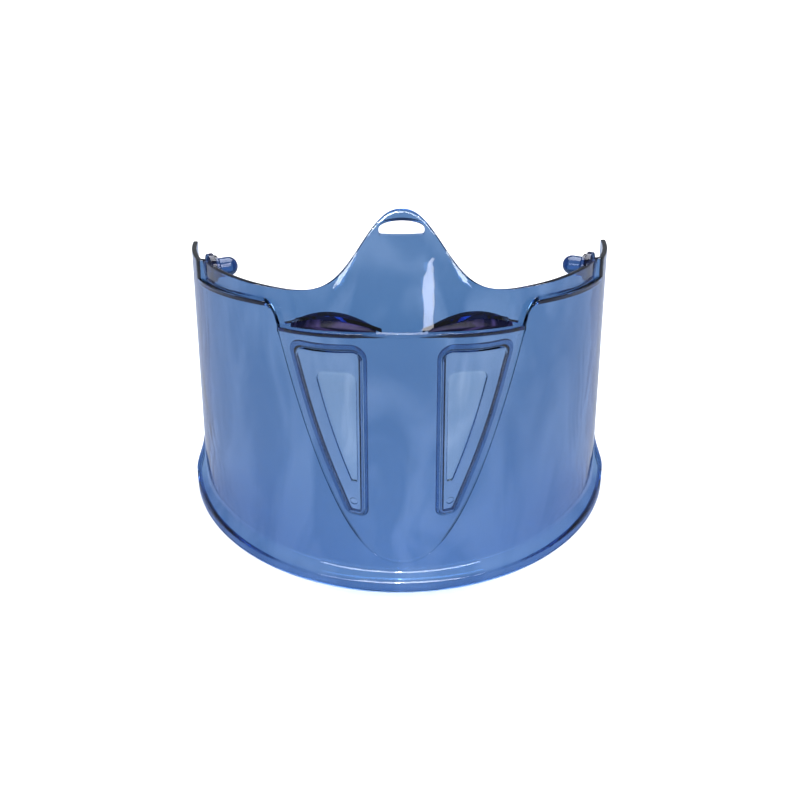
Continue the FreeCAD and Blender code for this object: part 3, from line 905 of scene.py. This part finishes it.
def painted_shade_material(looks):
    """Near-black glossy surface that paints the shade seen in the long slots, with long streaks of painted
    sheen in its colour and streaks in its gloss.
    """
    material = bpy.data.materials.new("painted shade insert")
    material.use_nodes = True
    tree = material.node_tree
    place = add_node(tree, "ShaderNodeTexCoord").outputs["Object"]
    stretch = add_node(tree, "ShaderNodeMapping", {"Vector": place, "Scale": SHEEN_AND_GLOSS_STREAK_STRETCH})
    sheen_and_gloss_streak = add_node(tree, "ShaderNodeTexNoise", {
        "Vector": stretch.outputs["Vector"], "Scale": 1.0, "Detail": 3.0}).outputs["Fac"]
    # Painted sheen: streaks of reflection colour mixed into the near-black painted shade.
    tint = blended(tree, map_range(tree, sheen_and_gloss_streak, PAINTED_SHEEN_BAND), looks.seal, looks.painted_sheen)
    rough = map_range(tree, sheen_and_gloss_streak, (0.0, 1.0), SHADE_INSERT_ROUGHNESS)
    feed(tree, tree.nodes["Principled BSDF"], {
        "Base Color": tint, "Roughness": rough, "Specular IOR Level": 0.06})
    return material


class SHIELD_OT_shade_inserts(bpy.types.Operator):
    """Builds the two near-black inserts that paint shade into the long slots"""

    bl_idname = "shield.seals"
    # The brow seals of this label are the near-black painted-shade inserts.
    bl_label = "Build the brow seals"

    def execute(self, context):
        scene = context.scene
        right = shade_insert_mesh(scene.shield_sizes, scene.shield_seal, "right_seal")
        left = mirrored_mesh(right, "left_seal")
        material = painted_shade_material(scene.shield_looks)
        for side, mesh in (("left", left), ("right", right)):
            # Each object is a near-black insert that paints shade into its slot.
            obj = solid_object(side + "_seal", mesh)
            smooth(obj, PIECE_SHARP)
            dress(obj, material, side + "_brow_seal", "shield")
        return {"FINISHED"}


# Turned studs: places along the axis, sides, steps round the tip
LATHE_POINTS, LATHE_SIDES, TIP_STEPS = 97, 48, 12


def lathe_tree():
    """Geometry nodes that turn a profile of radius along a straight axis into a closed solid."""
    tree = bpy.data.node_groups.new("turned stud", "GeometryNodeTree")
    kinds = {"Foot": "Vector", "Tip": "Vector", "Radius": "Float", "Material": "Material"}
    for label, kind in kinds.items():
        tree.interface.new_socket(label, in_out="INPUT", socket_type="NodeSocket" + kind)
    tree.interface.new_socket("Geometry", in_out="OUTPUT", socket_type="NodeSocketGeometry")
    entry = add_node(tree, "NodeGroupInput")
    line = add_node(tree, "GeometryNodeCurvePrimitiveLine", {
        "Start": entry.outputs["Foot"], "End": entry.outputs["Tip"]})
    points = add_node(tree, "GeometryNodeResampleCurve", {
        "Curve": line.outputs["Curve"], "Count": LATHE_POINTS})
    along = add_node(tree, "GeometryNodeSplineParameter")
    profile = add_node(tree, "ShaderNodeFloatCurve", {"Value": along.outputs["Factor"]})
    profile.name = "Profile"
    width = add_node(tree, "ShaderNodeMath", {0: profile.outputs["Value"], 1: entry.outputs["Radius"]})
    width.operation = "MULTIPLY"
    thick = add_node(tree, "GeometryNodeSetCurveRadius", {
        "Curve": points.outputs["Curve"], "Radius": width.outputs["Value"]})
    ring = add_node(tree, "GeometryNodeCurvePrimitiveCircle", {"Resolution": LATHE_SIDES, "Radius": 1.0})
    turned = add_node(tree, "GeometryNodeCurveToMesh", {
        "Curve": thick.outputs["Curve"], "Profile Curve": ring.outputs["Curve"],
        "Scale": width.outputs["Value"], "Fill Caps": True})
    real = add_node(tree, "GeometryNodeRealizeInstances", {"Geometry": turned.outputs["Mesh"]})
    paint = add_node(tree, "GeometryNodeSetMaterial", {
        "Geometry": real.outputs["Geometry"], "Material": entry.outputs["Material"]})
    add_node(tree, "NodeGroupOutput", {"Geometry": paint.outputs["Geometry"]})
    return tree


def stud_profile(s, t):
    """Length of the stud, and places along it and radii there, both as shares, for the turned profile."""
    shank = t.boss + s.wall / 2
    collar = shank + t.base
    start = collar + t.pin
    total = shank + t.base + t.pin + t.radius
    soft, fillet, fillet_run = 0.25 * MM, 0.3 * MM, 0.4 * MM
    jump, tip = 0.01 * MM, 0.02 * MM
    places = [(0.0, t.shank - soft), (soft, t.shank), (shank - jump, t.shank),
              (shank, t.base_radius - soft), (shank + soft, t.base_radius),
              (collar - soft, t.base_radius), (collar, t.base_radius - soft),
              (collar + 2 * jump, t.radius + fillet), (collar + fillet_run, t.radius)]
    for i in range(TIP_STEPS + 1):
        turn = math.pi / 2 * i / TIP_STEPS
        places.append((start + t.radius * math.sin(turn), max(t.radius * math.cos(turn), tip)))
    return total, [(place / total, radius / t.base_radius) for place, radius in places]


class SHIELD_OT_studs(bpy.types.Operator):
    """Builds the two studs on the inside of the rear corners"""

    bl_idname = "shield.studs"
    bl_label = "Build the side studs"

    def execute(self, context):
        scene = context.scene
        s, t = scene.shield_sizes, scene.shield_stud
        foot, axis = stud_place(s, t)
        total, places = stud_profile(s, t)
        start = foot - axis * (s.wall / 2)
        tree = lathe_tree()
        curve = tree.nodes["Profile"].mapping.curves[0]
        curve.points[0].location = places[0]
        curve.points[1].location = places[-1]
        for place in places[1:-1]:
            curve.points.new(*place)
        for point in curve.points:
            point.handle_type = "VECTOR"
        tree.nodes["Profile"].mapping.update()
        material = plastic_material("stud", scene.shield_looks)
        for side, flip in (("left", -1.0), ("right", 1.0)):
            obj = solid_object(side + "_stud", bpy.data.meshes.new(side + "_stud"))
            modifier = obj.modifiers.new("turned", "NODES")
            modifier.node_group = tree
            first = Vector((flip * start.x, start.y, start.z))
            last = first + Vector((flip * axis.x, axis.y, axis.z)) * total
            values = {"Foot": first, "Tip": last, "Radius": t.base_radius, "Material": material}
            for item in tree.interface.items_tree:
                if item.in_out == "INPUT":
                    modifier[item.identifier] = values[item.name]
            settled(obj)
            clean(obj.data)
            smooth(obj, PIECE_SHARP)
            dress(obj, material, side + "_side_stud", "shield")
        return {"FINISHED"}


def area_light(name, place, target, size, power, tint):
    data = bpy.data.lights.new(name, "AREA")
    data.shape = "RECTANGLE"
    data.size, data.size_y = size
    data.energy = power
    data.color = tint
    obj = bpy.data.objects.new(name, data)
    obj.location = place
    obj.rotation_euler = (Vector(target) - Vector(place)).to_track_quat("-Z", "Y").to_euler()
    bpy.context.scene.collection.objects.link(obj)


def floor_material(looks):
    """Pale floor with a faint grain, darker where it is seen in a reflection."""
    material = bpy.data.materials.new("pale floor")
    material.use_nodes = True
    tree = material.node_tree
    place = add_node(tree, "ShaderNodeTexCoord").outputs["Object"]
    grain = add_node(tree, "ShaderNodeTexNoise", {"Vector": place, "Scale": 6.0})
    light = [min(1.0, value * 1.02) for value in looks.floor]
    tint = blended(tree, grain.outputs["Fac"], looks.floor, light)
    pale = feed(tree, tree.nodes["Principled BSDF"], {"Base Color": tint, "Roughness": 0.9})
    dark = add_node(tree, "ShaderNodeBsdfDiffuse", {"Color": looks.reflected})
    path = add_node(tree, "ShaderNodeLightPath")
    surface = add_node(tree, "ShaderNodeMixShader", {
        "Fac": path.outputs["Is Glossy Ray"], 1: pale.outputs["BSDF"], 2: dark.outputs["BSDF"]})
    feed(tree, tree.nodes["Material Output"], {"Surface": surface.outputs["Shader"]})
    return material


FLOOR_HALF = 4.0
WORLD_TINT, WORLD_STRENGTH = (0.80, 0.85, 0.95, 1.0), 0.3
# Lights: name, place, aim, size, power, tint
LIGHTS = (("overhead", (0.0, 0.9, 2.0), (0, 0.25, 0.0), (2.6, 2.0), 95.0, (1.0, 1.0, 1.0)),
          ("key", (-0.03, -0.9, 0.75), (0, 0, 0.08), (0.07, 0.07), 2.5, (1.0, 0.99, 0.97)),
          ("window", (0.56, -0.53, 1.05), (0, 0, 0.12), (0.3, 0.3), 2.4, (1.0, 0.95, 0.97)),
          ("strip", (0.0, -1.0, 0.85), (0, 0, 0.05), (2.2, 0.14), 13.0, (0.95, 0.97, 1.0)))
CAMERA_PLACE = (-0.006, -0.5444, 0.3661)
CAMERA_DOWN, CAMERA_YAW = 29.5, -0.6
CAMERA_LENS, CAMERA_SENSOR = 72.9, 36.0
CAMERA_CLIP = (0.01, 20.0)


class SHIELD_OT_stage(bpy.types.Operator):
    """Sets up the floor, the lights and the camera"""

    bl_idname = "shield.stage"
    bl_label = "Set the stage"

    def execute(self, context):
        scene = context.scene
        floor = bpy.data.meshes.new("floor")
        corners = [(x * FLOOR_HALF, y * FLOOR_HALF, 0) for x, y in ((-1, -1), (1, -1), (1, 1), (-1, 1))]
        floor.from_pydata(corners, [], [(0, 1, 2, 3)])
        floor.materials.append(floor_material(scene.shield_looks))
        solid_object("floor", floor)
        world = bpy.data.worlds.new("studio")
        world.use_nodes = True
        sky = world.node_tree.nodes["Background"]
        sky.inputs["Color"].default_value = WORLD_TINT
        sky.inputs["Strength"].default_value = WORLD_STRENGTH
        scene.world = world
        for light in LIGHTS:
            area_light(*light)
        scene.view_settings.view_transform = "Standard"
        data = bpy.data.cameras.new("camera")
        data.sensor_width = CAMERA_SENSOR
        data.lens = CAMERA_LENS
        data.clip_start, data.clip_end = CAMERA_CLIP
        camera = bpy.data.objects.new("camera", data)
        camera.location = CAMERA_PLACE
        camera.rotation_euler = (math.radians(90.0 - CAMERA_DOWN), 0.0, math.radians(CAMERA_YAW))
        scene.collection.objects.link(camera)
        scene.camera = camera
        return {"FINISHED"}


class SHIELD_PT_panel(bpy.types.Panel):
    """Lists the steps that build the face shield"""

    bl_label = "Face shield"
    bl_idname = "SHIELD_PT_panel"
    bl_space_type = "VIEW_3D"
    bl_region_type = "UI"
    bl_category = "Face shield"

    def draw(self, context):
        for step in STEPS:
            self.layout.operator(step.bl_idname)


GROUPS = {"shield_sizes": ShieldSizes, "shield_cover": CoverSizes, "shield_seal": ShadeInsertSizes,
          "shield_stud": StudSizes, "shield_looks": ShieldLooks}
STEPS = (SHIELD_OT_shell, SHIELD_OT_covers, SHIELD_OT_shade_inserts, SHIELD_OT_studs, SHIELD_OT_stage)


def register():
    for cls in (*GROUPS.values(), *STEPS, SHIELD_PT_panel):
        bpy.utils.register_class(cls)
    for name, group in GROUPS.items():
        setattr(bpy.types.Scene, name, PointerProperty(type=group))


def unregister():
    for name in GROUPS:
        delattr(bpy.types.Scene, name)
    for cls in reversed((*GROUPS.values(), *STEPS, SHIELD_PT_panel)):
        bpy.utils.unregister_class(cls)


def main():
    register()
    for step in STEPS:
        area, name = step.bl_idname.split(".")
        getattr(getattr(bpy.ops, area), name)()


if __name__ == "__main__":
    main()
